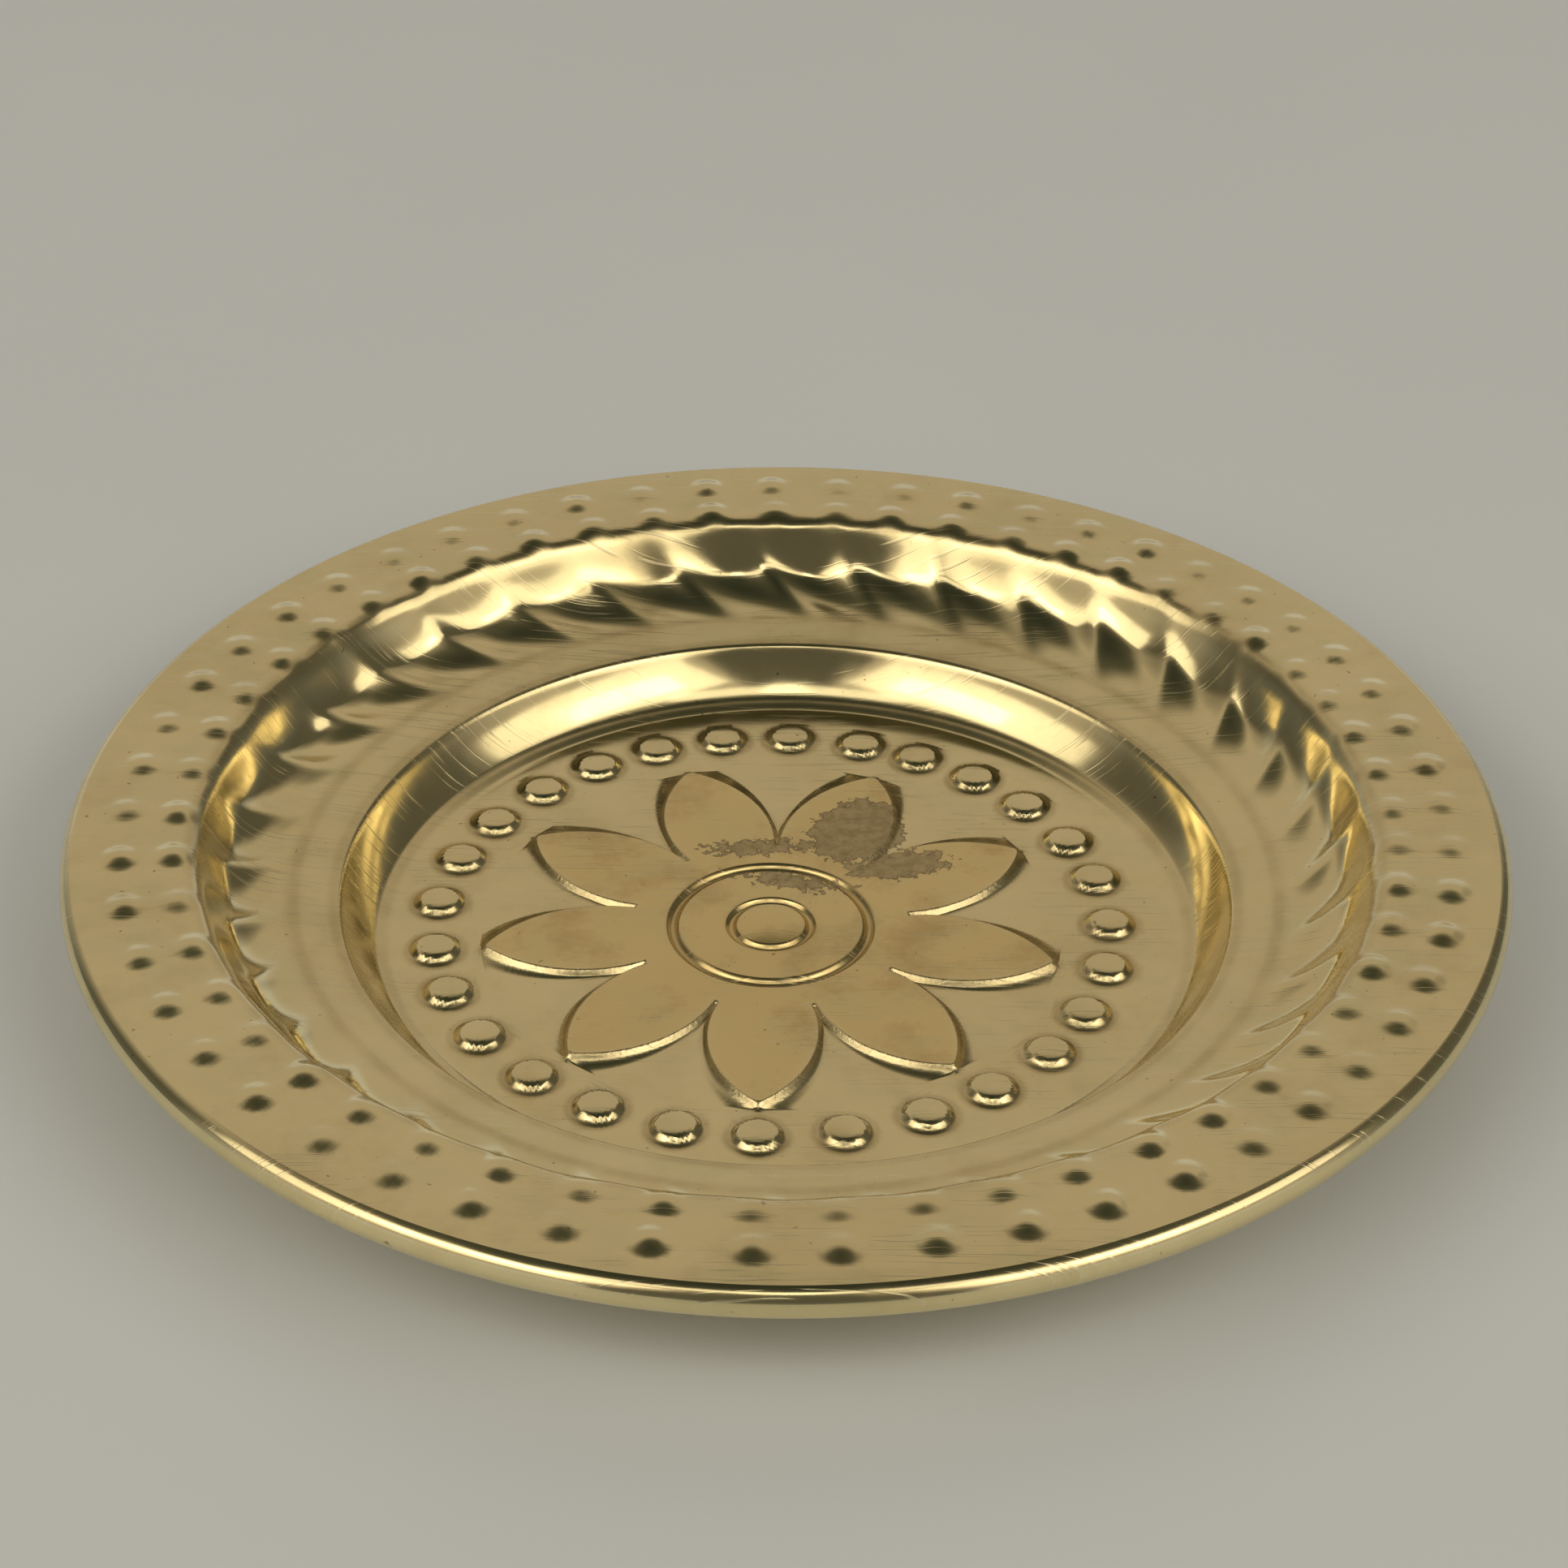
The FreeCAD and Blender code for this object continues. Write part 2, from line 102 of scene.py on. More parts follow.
FLUTES = 36
FLUTE_TURN = math.radians(5.0)
FLUTE_DEPTH = 0.9
FLUTE_SWIRL = math.radians(7.5)
FLUTE_STRENGTHS = (0.75, 1.1)
FLUTE_LEAN = 0.92  # under 1: the channel's deepest line stands to one side
FLUTE_SAMPLES = 200  # to a flute
FLUTE_WINDOW = 71  # samples, odd
FLUTE_START, FLUTE_FULL = 44.0, 49.5  # radii
FLUTE_WEAKENS, FLUTE_WEAK, FLUTE_WEAKENING = 49.8, 52.9, 0.8
WALL_FOOT, WALL_TOP = 44.7, 52.8
WALL_ZONE = (43.0, 54.5)  # the radii that the flutes can reach
SHOULDER_WANDER = 0.16

# A slow unevenness round the plate: share, waves to the turn, phase.
UNEVEN_WAVES = [(0.5, 5, 0.7), (0.3, 11, 2.1), (0.2, 23, 4.0)]

# The dried stain across the flower: middle, half sizes and lean of each patch.
STAIN = [
    (6.6, 14.2, 5.6, 4.2, 60),
    (-2.6, 11.3, 4.6, 1.3, 5),
    (10.6, 8.6, 4.8, 2.2, 12),
    (0.6, 5.9, 4.8, 1.2, -12),
]
STAIN_FAR = 3.0  # distances from the stain are kept to this many mm

# Corners of the turned profile where shade is painted into the colour, as radii.
SHADED_CORNERS = (37.0, 41.0, WALL_FOOT, WALL_TOP + 0.4)

# ------------------------------------------------------------------ shape functions


def smooth(x, low, high):
    """0 below low, 1 above high, and a smooth step between."""
    t = np.clip((x - low) / (high - low), 0.0, 1.0)  # also works with high below low
    return t * t * (3 - 2 * t)


def soft_positive(x, k):
    """x where it is positive and 0 where it is negative, rounded over k each way."""
    mid = (x + k) ** 2 / (4 * k)
    return np.where(x <= -k, 0.0, np.where(x >= k, x, mid))


def arc_points(a, b, lean_a, lean_b, count=24):
    """Points of a curve from a to b whose slope goes evenly from one angle to another."""
    slopes = np.radians(np.linspace(lean_a, lean_b, count))
    middles = (slopes[1:] + slopes[:-1]) / 2
    across = np.concatenate(([0], np.cumsum(np.cos(middles))))
    up = np.concatenate(([0], np.cumsum(np.sin(middles))))
    r = across / across[-1] * (b[0] - a[0]) + a[0]
    z = up / up[-1] * (b[1] - a[1]) + a[1]
    return list(zip(r, z))


# The turned profile: the sheet's upper face as (radius, height), in rising radius.
PROFILE = [(0, FLOOR_TOP), (36.1, FLOOR_TOP), (36.75, 0.74)]
PROFILE += arc_points((37.4, 0.84), (40.5, 5.15), 42, 64)
PROFILE += [(WALL_FOOT, 5.76)]
PROFILE += arc_points((WALL_FOOT + 0.3, 5.81), (50.4, 8.36), 12, 37)
PROFILE += arc_points((50.45, 8.42), (WALL_TOP, RIM_TOP - 0.05), 42, 63)
PROFILE += [(58.0, RIM_TOP + 0.05), (62.2, RIM_TOP), (66, RIM_TOP - 0.19)]

STEP = 0.02
CRISP, SHOULDER_ROUNDING = 0.5, 1.3  # windows that round the profile's corners
table_r = np.arange(0, PROFILE[-1][0], STEP)
profile_r, profile_z = np.array(PROFILE).T
table_z = np.interp(table_r, profile_r, profile_z)


def rounded(values, radius_mm):
    """The table averaged over a window, which rounds its corners."""
    half = int(radius_mm / STEP)
    kernel = np.hanning(2 * half + 1)
    padded = np.pad(values, half, mode="edge")
    return np.convolve(padded, kernel / kernel.sum(), mode="valid")


crisp_z = rounded(table_z, CRISP)
shoulder_z = rounded(table_z, SHOULDER_ROUNDING)
near_shoulder = smooth(np.abs(table_r - WALL_TOP), 2.6, 1.4)
table_z = crisp_z * (1 - near_shoulder) + shoulder_z * near_shoulder


def turned(r):
    """Height of the turned profile, with rounded corners, at a distance from the axis."""
    return np.interp(r, table_r, table_z)


def dome_table(stops):
    """Height of a round stud over the distance from its middle, from (distance, slope)."""
    distance, slope = np.array(stops, float).T
    fine = np.arange(0, distance[-1] + STEP, STEP)
    fall = np.tan(np.radians(np.interp(fine, distance, slope))) * STEP
    return fine, np.cumsum(fall[::-1])[::-1]


def dome(distance, table):
    """Height at a distance from the middle of a stud or bump."""
    return np.interp(distance, table[0], table[1], right=0.0)


STUD_SHAPE = dome_table(
    [(0, 0), (1.4, 6), (1.62, 13), (1.78, 40), (2.1, 49), (2.4, 24), (2.75, 0)]
)
BUMP_SHAPE = dome_table([(0, 0), (0.5, 7), (1.0, 15), (1.6, 15), (2.45, 0)])
BRIDGE_SHAPE = dome_table([(0, 0), (0.8, 6), (1.7, 0)])
EDGE_SHAPE = dome_table([(0, 0), (0.16, 44), (0.5, 50), (0.68, 0)])


def stud_centres():
    """Middles of the studs: evenly round, but for a slow drift and a small jitter."""
    rng = np.random.default_rng(7)
    angle = STUD_TURN + np.arange(STUDS) * TURN / STUDS
    drift = STUD_DRIFT * np.cos(angle + STUD_DRIFT_TURN)
    angle = angle + drift + rng.normal(0, STUD_JITTER, STUDS)
    return STUD_X_MID + STUD_RING * np.cos(angle), STUD_Y_MID + STUD_RING * np.sin(angle)


def bump_angles():
    """Directions of the pairs of bumps round the flange. They stand closer on one side."""
    spread = np.arange(BUMPS) * TURN / BUMPS
    angle = BUMP_TURN + spread
    for _ in range(20):  # the drift depends on the angle itself, and settles in a few rounds
        drift = BUMP_DRIFT * (np.sin(angle - BUMP_DENSE) - math.sin(BUMP_TURN - BUMP_DENSE))
        angle = BUMP_TURN + spread - drift
    return angle


STUD_X, STUD_Y = stud_centres()
BUMP_ANGLES = bump_angles()


def petal_inside(x, y):
    """Distance inside the flower's outline, about the flower's axis. Negative outside."""
    r = np.hypot(x, y)
    sector = TURN / PETALS
    local = (np.arctan2(y, x) - PETAL_TURN + sector / 2) % sector - sector / 2
    along, across = r * np.cos(local), np.hypot(r * np.sin(local), TIP_ROUNDING)
    petal = PETAL_ARC_R - np.hypot(along - PETAL_ARC_X, across + PETAL_ARC_Y)
    petal = np.where(r < PETAL_FROM, -1, petal)
    return np.maximum(petal, DISC_R - r)


def flower(x, y):
    """Height of the flower, its rings and its button over the floor."""
    fx, fy = x - FLOWER_X, y - FLOWER_Y
    r = np.hypot(fx, fy)
    outside = EDGE_WIDTH - EDGE_SET_BACK - petal_inside(fx, fy)
    h = PETAL_RISE * dome(outside, EDGE_SHAPE) / EDGE_SHAPE[1][0]
    for ring in (BIG_RING_R, SMALL_RING_R):
        across = np.clip((r - ring) / RING_HALF, -1, 1)
        h = h - RING_DEPTH * np.cos(across * math.pi / 2) ** RING_SHARPNESS
    return h + BOSS_RISE * soft_positive(1 - (r / BOSS_R) ** 2, BOSS_ROUNDING)


def studs(x, y):
    """Height of the ring of studs over the floor."""
    h = np.zeros_like(x)
    for sx, sy in zip(STUD_X, STUD_Y):
        h = np.maximum(h, dome(np.hypot(x - sx, y - sy), STUD_SHAPE))
    return h


def bump_strengths():
    """How fully each bump of each row is pressed, and how far aside it stands."""
    rng = np.random.default_rng(11)
    shape = (len(BUMP_ROWS), BUMPS)
    strength = rng.uniform(*BUMP_STRENGTHS, shape)
    return strength, rng.normal(0, BUMP_WANDER, shape)


BUMP_STRENGTH, BUMP_ASIDE = bump_strengths()


def bumps(x, y):
    """Both rows of bumps, with a low saddle between the two of each pair."""
    h = np.zeros_like(x)
    inner, outer = BUMP_ROWS
    for k, angle in enumerate(BUMP_ANGLES):
        c, s = math.cos(angle), math.sin(angle)
        out, aside = x * c + y * s, y * c - x * s
        saddle = dome(np.hypot(out - np.clip(out, inner, outer), aside), BRIDGE_SHAPE)
        pair = np.zeros_like(x)
        for row, radius in enumerate(BUMP_ROWS):
            distance = np.hypot(out - radius, aside - BUMP_ASIDE[row, k])
            pair = np.maximum(pair, dome(distance, BUMP_SHAPE) * BUMP_STRENGTH[row, k])
        h = np.maximum(h, np.hypot(pair, saddle))
    return h


def swirl(r):
    """How far a flute has turned at a radius, from the wall's top inwards."""
    return FLUTE_SWIRL * (WALL_TOP - r) / (WALL_TOP - WALL_FOOT)


def flute_table():
    """Depth of the wall's flutes round one turn: hollow channels that are steep on one
    side and gentle on the other, with rounded crests, no two pressed quite alike."""
    rng = np.random.default_rng(3)
    phase = np.linspace(0, FLUTES, FLUTES * FLUTE_SAMPLES, endpoint=False)
    strength = rng.uniform(*FLUTE_STRENGTHS, FLUTES)[phase.astype(int)]
    shape = strength * np.sin(math.pi * (phase % 1.0) ** FLUTE_LEAN)
    window = np.hanning(FLUTE_WINDOW)
    padded = np.pad(shape, FLUTE_WINDOW // 2, mode="wrap")
    return phase, np.convolve(padded, window / window.sum(), mode="valid")


FLUTE_PHASE, FLUTE_SHAPE = flute_table()


def flutes(r, theta):
    """Depth of the wall's flutes: they fade in up the wall and weaken towards its top."""
    phase = ((theta + swirl(r) - FLUTE_TURN) * FLUTES / TURN) % FLUTES
    fade_in = smooth(r, FLUTE_START, FLUTE_FULL)
    fade_out = 1 - FLUTE_WEAKENING * smooth(r, FLUTE_WEAKENS, FLUTE_WEAK)
    reach = fade_in * fade_out * (1 - smooth(r, WALL_TOP, WALL_ZONE[1]))
    return -FLUTE_DEPTH * reach * np.interp(phase, FLUTE_PHASE, FLUTE_SHAPE, period=FLUTES)


def uneven(theta):
    """A slow unevenness round the plate, from minus one to one: hand work leaves it."""
    return sum(share * np.sin(waves * theta + phase) for share, waves, phase in UNEVEN_WAVES)


def height(x, y):
    """The sheet's upper face over the whole plate."""
    r = np.hypot(x, y)
    theta = np.arctan2(y, x)
    z = turned(r + SHOULDER_WANDER * uneven(theta) * smooth(np.abs(r - WALL_TOP), 3.5, 1.0))
    inner = r < CENTRE_FREE
    z[inner] += flower(x[inner], y[inner]) + studs(x[inner], y[inner])
    wall = (r > WALL_ZONE[0]) & (r < WALL_ZONE[1])
    z[wall] += flutes(r[wall], theta[wall])
    brim = (r > BRIM_ZONE[0]) & (r < BRIM_ZONE[1])
    z[brim] += bumps(x[brim], y[brim])
    return z


def normals(x, y, reach=0.03):
    """Upward normals of the upper face, from the height a little to each side."""
    dx = (height(x + reach, y) - height(x - reach, y)) / (2 * reach)
    dy = (height(x, y + reach) - height(x, y - reach)) / (2 * reach)
    n = np.stack((-dx, -dy, np.ones_like(dx)), 1)
    return n / np.linalg.norm(n, axis=1)[:, None]


# ------------------------------------------------------------------ the sheet's grid


def even(count):
    """Directions evenly round one turn."""
    return np.arange(count) / count * TURN


def petal_half_angle(r):
    """Half of a petal's width as an angle, at a distance from the flower's axis."""
    sweep = np.linspace(0, 1, 400)
    start = math.atan2(PETAL_ARC_Y, PETAL_TIP - PETAL_ARC_X)
    finish = math.pi - math.asin(min(1, (PETAL_ROOT_HALF + PETAL_ARC_Y) / PETAL_ARC_R)) + 0.25
    angle = start + (finish - start) * sweep
    along = PETAL_ARC_X + PETAL_ARC_R * np.cos(angle)
    across = np.clip(-PETAL_ARC_Y + PETAL_ARC_R * np.sin(angle), 0, None)
    order = np.argsort(np.hypot(along, across))
    reach, half = np.hypot(along, across)[order], np.arctan2(across, along)[order]
    return float(np.interp(r, reach, half))


# Strips of the grid across a petal's pressed edge, as shares of its width.
EDGE_STRIPS = np.array([-0.9, -0.62, -0.4, -0.1, 0.2, 0.45, 0.68, 0.95]) * 0.7
EDGE_STRIP_LEAST = 1e-4  # radians


def petal_columns(r, inside, outside):
    """Grid directions at one radius. They follow the petals' outlines, so that each
    pressed edge has its own narrow strips."""
    sector = TURN / PETALS
    half_sector = sector / 2
    edge = EDGE_WIDTH / r
    half = min(petal_half_angle(r), half_sector - 0.6 * edge)
    within = np.linspace(0, 1, inside + 1)[:-1] * max(half - 0.7 * edge, 0.0)
    least = EDGE_STRIP_LEAST * np.arange(1, len(EDGE_STRIPS) + 1)
    border = np.maximum(half + EDGE_STRIPS * edge, within[-1] + least)
    border = np.minimum(border, half_sector - least[::-1])
    beyond = border[-1] + (half_sector - border[-1]) * np.linspace(0, 1, outside + 1)[1:]
    side = np.concatenate((within, border, beyond))
    plain = np.linspace(0, half_sector, len(side))
    loose = smooth(np.array(r), PETAL_TIP + 0.1, PETAL_TIP + 1.7)
    tight = smooth(np.array(r), PETAL_FROM, DISC_R - 0.3)
    mix = float(np.clip(loose + 1 - tight, 0, 1))
    side = side * (1 - mix) + plain * mix
    full = np.concatenate((-side[:0:-1], side[:-1]))
    return np.concatenate([PETAL_TURN + k * sector + full for k in range(PETALS)])


def flute_columns(r, count):
    """Grid directions that run along the leaning flutes."""
    return FLUTE_TURN - swirl(np.clip(r, WALL_FOOT, WALL_TOP)) + even(count)


def radii(stops):
    """Radii from stop to stop: each stop is (radius, spacing up to the next one)."""
    out = []
    for (a, spacing), (b, _) in zip(stops[:-1], stops[1:]):
        steps = max(1, round((b - a) / spacing))
        out += list(np.linspace(a, b, steps + 1)[:-1])
    return out + [stops[-1][0]]


# The grid's zones from the middle outwards: stops for radii(), then the directions at a
# radius. Each spacing is the fine face's, and the coarse face's is k times that where the
# third value of a stop says so.
BUTTON_STOPS = [(0.4, 0.5, True), (2.8, 0.22, True), (4.5, 0.7, True), (8.2, 0.22, True)]
BUTTON_STOPS += [(9.8, 0.4, False)]
PETAL_STOPS = [(10.6, 0.35, False), (12.0, 0.2, True), (13.2, 0.45, True), (25.0, 0.28, True)]
PETAL_STOPS += [(27.0, 0.5, False), (28.4, 1, False)]
STUD_STOPS = [(28.7, 0.29, True), (33.8, 0.5, False)]
COVE_STOPS = [(34.4, 0.6, False), (35.8, 0.2, True), (37.6, 0.3, True), (40.0, 0.16, True)]
COVE_STOPS += [(41.3, 0.55, True), (43.4, 0.5, False)]
WALL_STOPS = [(43.9, 0.5, True), (51.8, 0.25, True), (53.2, 0.22, False)]
BRIM_STOPS = [(53.5, 0.37, True), (62.0, 0.3, False)]


def face_rings(fine):
    """Rings of one face of the sheet from the middle outwards, as (radius, directions)."""
    k = 1 if fine else 2
    zones = [
        (BUTTON_STOPS, lambda r: PETAL_TURN + even(180 // k)),
        (PETAL_STOPS, lambda r: petal_columns(r, 6 // k, 3 if fine else 1)),
        (STUD_STOPS, lambda r: even(560 // k)),
        (COVE_STOPS, lambda r: even(360 // k)),
        (WALL_STOPS, lambda r: flute_columns(r, 576 // k)),
        (BRIM_STOPS, lambda r: BUMP_TURN + even(583 // k)),
    ]
    rings = []
    for stops, columns in zones:
        scaled = [(r, spacing * k if coarser else spacing) for r, spacing, coarser in stops]
        rings += [(r, columns(r)) for r in radii(scaled)]
    return rings


def place(r, theta):
    """Points of a ring. The middle of the grid follows the flower off the plate's axis."""
    shift = 1 - float(smooth(np.array(r), CENTRE_HOLD, CENTRE_FREE))
    return FLOWER_X * shift + r * np.cos(theta), FLOWER_Y * shift + r * np.sin(theta)


class SheetMesh:
    """Collects rings of points and the faces between each ring and the next."""

    def __init__(self):
        self.points, self.normals, self.faces, self.count = [], [], [], 0

    def ring(self, xyz, normal, theta):
        start = self.count
        self.points.append(xyz)
        self.normals.append(normal)
        self.count += len(xyz)
        return start, theta

    def join(self, a, b):
        """Faces between ring a and ring b, which may differ in count. Seen from the side
        the normals point to, b lies outside a."""
        (sa, ta), (sb, tb) = a, b
        na, nb = len(ta), len(tb)
        if na == nb and abs(ta[0] - tb[0]) < TURN / na:
            for i in range(na):
                j = (i + 1) % na
                self.faces.append((sa + i, sb + i, sb + j, sa + j))
            return
        base = ta[0]
        first = int(np.argmin((tb - base + TURN / (2 * nb)) % TURN))
        rel_a = np.append(ta - base, TURN)
        rel_b = (np.roll(tb, -first) - base + math.pi) % TURN - math.pi
        later = np.where(np.arange(nb) > nb // 4, rel_b % TURN, rel_b)
        rel_b = np.append(later, rel_b[0] + TURN)
        i = j = 0
        while i < na or j < nb:
            pa, pb = sa + i % na, sb + (first + j) % nb
            if j >= nb or (i < na and rel_a[i + 1] <= rel_b[j + 1]):
                self.faces.append((pa, pb, sa + (i + 1) % na))
                i += 1
            else:
                self.faces.append((pa, pb, sb + (first + j + 1) % nb))
                j += 1


def add_face(sheet, fine):
    """One face of the sheet: the upper one fine, the lower one coarser and a gauge down."""
    built = []
    for r, theta in face_rings(fine):
        x, y = place(r, theta)
        z = height(x, y) - (0 if fine else GAUGE)
        n = normals(x, y) * (1 if fine else -1)
        built.append(sheet.ring(np.stack((x, y, z), 1), n, theta))
    return built


def add_roll(sheet):
    """The rolled edge as rings from the flange over the crest to the seam and back inside."""
    theta = even(ROLL_COLUMNS)
    cos, sin = np.cos(theta), np.sin(theta)
    rings = []

    def section_point(r, z, nr, nz):
        xyz = np.stack((r * cos, r * sin, np.full(ROLL_COLUMNS, z)), 1)
        normal = np.stack((nr * cos, nr * sin, np.full(ROLL_COLUMNS, nz)), 1)
        rings.append(sheet.ring(xyz, normal, theta))

    for r in (FLANGE_END, FLANGE_END + 0.5, ROLL_CREASE_R - 0.06, ROLL_CREASE_R):
        slope = (turned(r + STEP) - turned(r - STEP)) / (2 * STEP)
        long = math.hypot(slope, 1)
        section_point(r, float(turned(r)), -slope / long, 1 / long)
    for angle in np.linspace(ROLL_START, ROLL_END, 21):
        c, s = math.cos(angle), math.sin(angle)
        section_point(ROLL_R + ROLL_OUTER * c, ROLL_Z + ROLL_OUTER * s, c, s)
    end_c, end_s = math.cos(ROLL_END), math.sin(ROLL_END)
    for reach in (ROLL_OUTER, ROLL_INNER):
        section_point(ROLL_R + reach * end_c, ROLL_Z + reach * end_s, end_s, -end_c)
    for angle in np.linspace(ROLL_END, math.pi / 2, 9):
        c, s = math.cos(angle), math.sin(angle)
        section_point(ROLL_R + ROLL_INNER * c, ROLL_Z + ROLL_INNER * s, -c, -s)
    section_point(FLANGE_END, RIM_TOP - GAUGE, 0, -1)
    return rings


def pole(side):
    """The point and normal at the middle of one face: side is 1 above and -1 below."""
    x = np.array([FLOWER_X])
    y = np.array([FLOWER_Y])
    z = height(x, y) - (0 if side > 0 else GAUGE)
    return np.stack((x, y, z), 1), np.array([[0.0, 0.0, float(side)]])


def build_dish():
    """The whole closed sheet: upper face, rolled edge and lower face."""
    sheet = SheetMesh()
    tip_top = sheet.ring(*pole(1), np.zeros(1))
    top = add_face(sheet, True)
    roll = add_roll(sheet)
    under = add_face(sheet, False)[::-1]
    tip_under = sheet.ring(*pole(-1), np.zeros(1))
    chain = top + roll + under
    first, last = top[0], under[-1]
    for i in range(len(first[1])):
        j = (i + 1) % len(first[1])
        sheet.faces.append((tip_top[0], first[0] + i, first[0] + j))
    for a, b in zip(chain[:-1], chain[1:]):
        sheet.join(a, b)
    for i in range(len(last[1])):
        j = (i + 1) % len(last[1])
        sheet.faces.append((tip_under[0], last[0] + j, last[0] + i))
    return sheet


def stain_field(x, y):
    """How far inside the dried stain a point is, in mm: a few patches that run together."""
    field = np.full(x.shape, -STAIN_FAR)
    for px, py, half_x, half_y, lean in STAIN:
        c, s = math.cos(math.radians(lean)), math.sin(math.radians(lean))
        along = (x - px) * c + (y - py) * s
        across = (y - py) * c - (x - px) * s
        apart = np.hypot(along / half_x, across / half_y)
        field = np.maximum(field, (1 - apart) * min(half_x, half_y))
    return np.clip(field, -STAIN_FAR, STAIN_FAR)


def recess_shade_field(x, y):
    """Where shade is painted into the colour: round the studs and in the rings and corners.
    """
    field = np.zeros(x.shape)
    near = np.hypot(x - STUD_X_MID, y - STUD_Y_MID)
    ring = np.abs(near - STUD_RING) < 4
    for sx, sy in zip(STUD_X, STUD_Y):
        apart = np.hypot(x[ring] - sx, y[ring] - sy)
        field[ring] = np.maximum(field[ring], 1 - smooth(np.abs(apart - 2.55), 0.15, 0.7))
    r = np.hypot(x - FLOWER_X, y - FLOWER_Y)
    for middle in (BIG_RING_R, SMALL_RING_R):
        field = np.maximum(field, 0.7 * (1 - smooth(np.abs(r - middle), 0.2, 0.9)))
    outline = petal_inside(x - FLOWER_X, y - FLOWER_Y)
    by_petal = (1 - smooth(np.abs(outline + 0.35), 0.1, 0.6)) * (r > OUTLINE_FROM)
    field = np.maximum(field, 0.8 * by_petal)
    plate_r = np.hypot(x, y)
    for middle in SHADED_CORNERS:
        field = np.maximum(field, 0.6 * (1 - smooth(np.abs(plate_r - middle), 0.2, 1.0)))
    return field


def make_dish():
    """The pressed sheet as a Blender object, with the values that its material reads."""
    sheet = build_dish()
    points = np.concatenate(sheet.points)
    normal = np.concatenate(sheet.normals)
    mesh = bpy.data.meshes.new("pressed_sheet")
    mesh.from_pydata((points * MM).tolist(), [], sheet.faces)
    mesh.polygons.foreach_set("use_smooth", np.ones(len(mesh.polygons), bool))
    mesh.normals_split_custom_set_from_vertices(normal.tolist())
    fx, fy = points[:, 0] - FLOWER_X, points[:, 1] - FLOWER_Y
    upper = normal[:, 2] > -0.2
    inside = petal_inside(fx, fy)
    on_outline = np.hypot(fx, fy) > OUTLINE_FROM
    add_value(mesh, "flower", smooth(inside, -0.1, 0.1) * upper)
    edge = np.clip(1 - np.abs(inside) / (EDGE_WIDTH * 0.9), 0, 1) * on_outline
    add_value(mesh, "edge", edge * upper)
    stain = stain_field(points[:, 0], points[:, 1])
    add_value(mesh, "stain", np.where(upper, stain, -STAIN_FAR))
    add_value(mesh, "recess", recess_shade_field(points[:, 0], points[:, 1]) * upper)
    dish = bpy.data.objects.new("pressed_sheet", mesh)
    bpy.context.scene.collection.objects.link(dish)
    return dish


def add_value(mesh, name, values):
    """A number at every vertex, under a name that the material reads."""
    attribute = mesh.attributes.new(name, "FLOAT", "POINT")
    attribute.data.foreach_set("value", np.asarray(values, dtype=np.float32))


# ------------------------------------------------------------------ materials


class Nodes:
    """A short way to write a node tree."""

    def __init__(self, tree):
        self.tree = tree
        tree.nodes.clear()

    def add(self, kind, inputs=(), **settings):
        node = self.tree.nodes.new(kind)
        for key, value in settings.items():
            setattr(node, key, value)
        for key, value in dict(inputs).items():
            if isinstance(value, bpy.types.NodeSocket):
                self.tree.links.new(value, node.inputs[key])
            else:
                node.inputs[key].default_value = value
        return node

    def math(self, operation, a, b=0.0):
        return self.add("ShaderNodeMath", {0: a, 1: b}, operation=operation).outputs[0]

    def remap(self, value, low, high, out_low=0.0, out_high=1.0):
        """value from low..high to out_low..out_high, and kept within them."""
        inputs = {"Value": value, "From Min": low, "From Max": high}
        inputs |= {"To Min": out_low, "To Max": out_high}
        return self.add("ShaderNodeMapRange", inputs, clamp=True).outputs["Result"]

    def noise(self, vector, scale, detail=2.0, rough=0.5):
        inputs = {"Vector": vector, "Scale": scale, "Detail": detail, "Roughness": rough}
        return self.add("ShaderNodeTexNoise", inputs).outputs["Fac"]

    def mix(self, factor, a, b):
        """Colour a, or b where the factor is 1."""
        node = self.add("ShaderNodeMix", data_type="RGBA")
        for index, value in ((0, factor), (6, a), (7, b)):
            if isinstance(value, bpy.types.NodeSocket):
                self.tree.links.new(value, node.inputs[index])
            elif index == 0:
                node.inputs[index].default_value = value
            else:
                node.inputs[index].default_value = (*value, 1.0)
        return node.outputs[2]

    def attribute(self, name):
        return self.add("ShaderNodeAttribute", attribute_name=name).outputs["Fac"]

    def bump(self, relief, strength, distance, under=None):
        """A normal from relief, distance in metres, on top of the normal under it."""
        inputs = {"Strength": strength, "Distance": distance, "Height": relief}
        if under is not None:
            inputs["Normal"] = under
        return self.add("ShaderNodeBump", inputs).outputs[0]


def new_material(name):
    material = bpy.data.materials.new(name)
    material.use_nodes = True
    return material, Nodes(material.node_tree)


FLOOR_TONE = (0.84, 0.71, 0.40)  # brass of the plate, and of the flower
PETAL_TONE = (0.80, 0.62, 0.29)
CLOUD_TONE = (0.56, 0.41, 0.18)
GREEN_TONE = (0.66, 0.62, 0.34)
# painted shade: the colour that darkens the recesses
RECESS_SHADE_TONE = (0.40, 0.27, 0.11)
TARNISH_TONE = (0.48, 0.31, 0.12)
SPECK_TONE = (0.22, 0.15, 0.07)
WORN_TONE = (0.95, 0.80, 0.50)
SCRATCH_TONE = (0.93, 0.84, 0.58)
STAIN_TONES = (0.40, 0.31, 0.17), (0.58, 0.46, 0.26)
STAIN_RIM_TONE = (0.30, 0.22, 0.15)
SCRATCH_DIRECTIONS = ((25, 0.0), (-38, 0.31), (80, 0.57))  # degrees, and a shift
SCRATCH_STRETCH = (70.0, 3200.0, 70.0)


